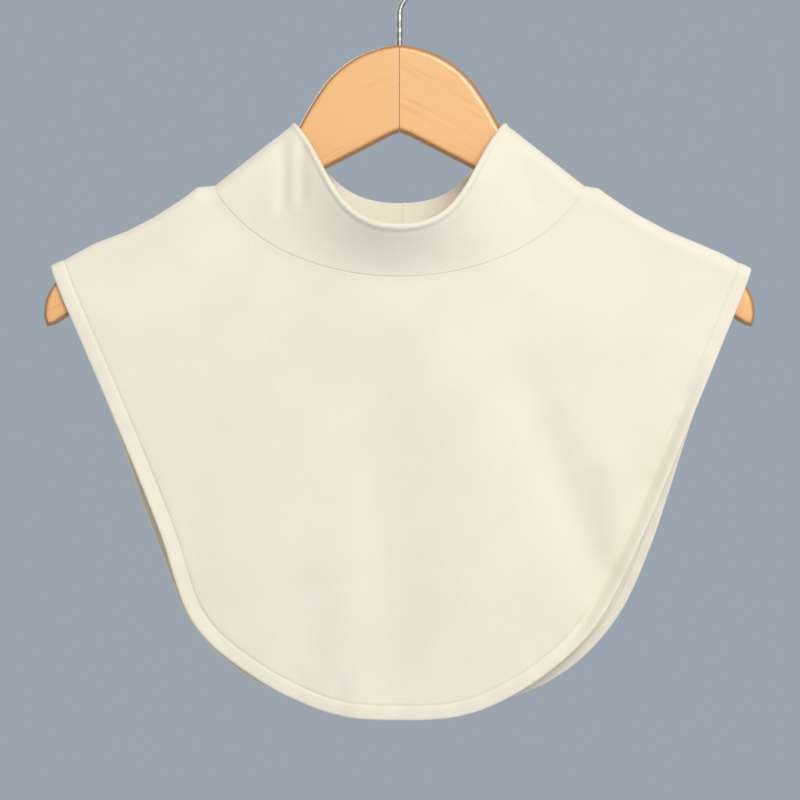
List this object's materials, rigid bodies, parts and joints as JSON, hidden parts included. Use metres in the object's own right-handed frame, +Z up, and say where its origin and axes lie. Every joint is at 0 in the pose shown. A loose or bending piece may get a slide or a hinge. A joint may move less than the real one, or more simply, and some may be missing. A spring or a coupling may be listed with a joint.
{
  "type": "turtleneck dickey collar on a wooden hanger",
  "caption": "Detachable turtleneck collar in cream double knit with a front and a back bib, hanging open on a flat wooden hanger with a wire hook.",
  "frame": {"origin": "the inside top of the hook, where the rail carries the hanger", "axes": "+Z up, the front of the garment faces -Y, +X towards the wearer's left"},
  "size_m": [0.4448, 0.0738, 0.4996],
  "materials": {
    "knit": "cream cotton double knit, matt, with a soft brushed surface",
    "wood": "pale hardwood under clear satin varnish, darker on the round edges",
    "wire": "worn nickel-plated steel wire"
  },
  "bodies": {
    "root": {"front_bib": "knit", "back_bib": "knit", "collar_band": "knit", "hanger_arm_left": "wood", "hanger_arm_right": "wood", "hanger_hook": "wire"}
  },
  "joints": []
}
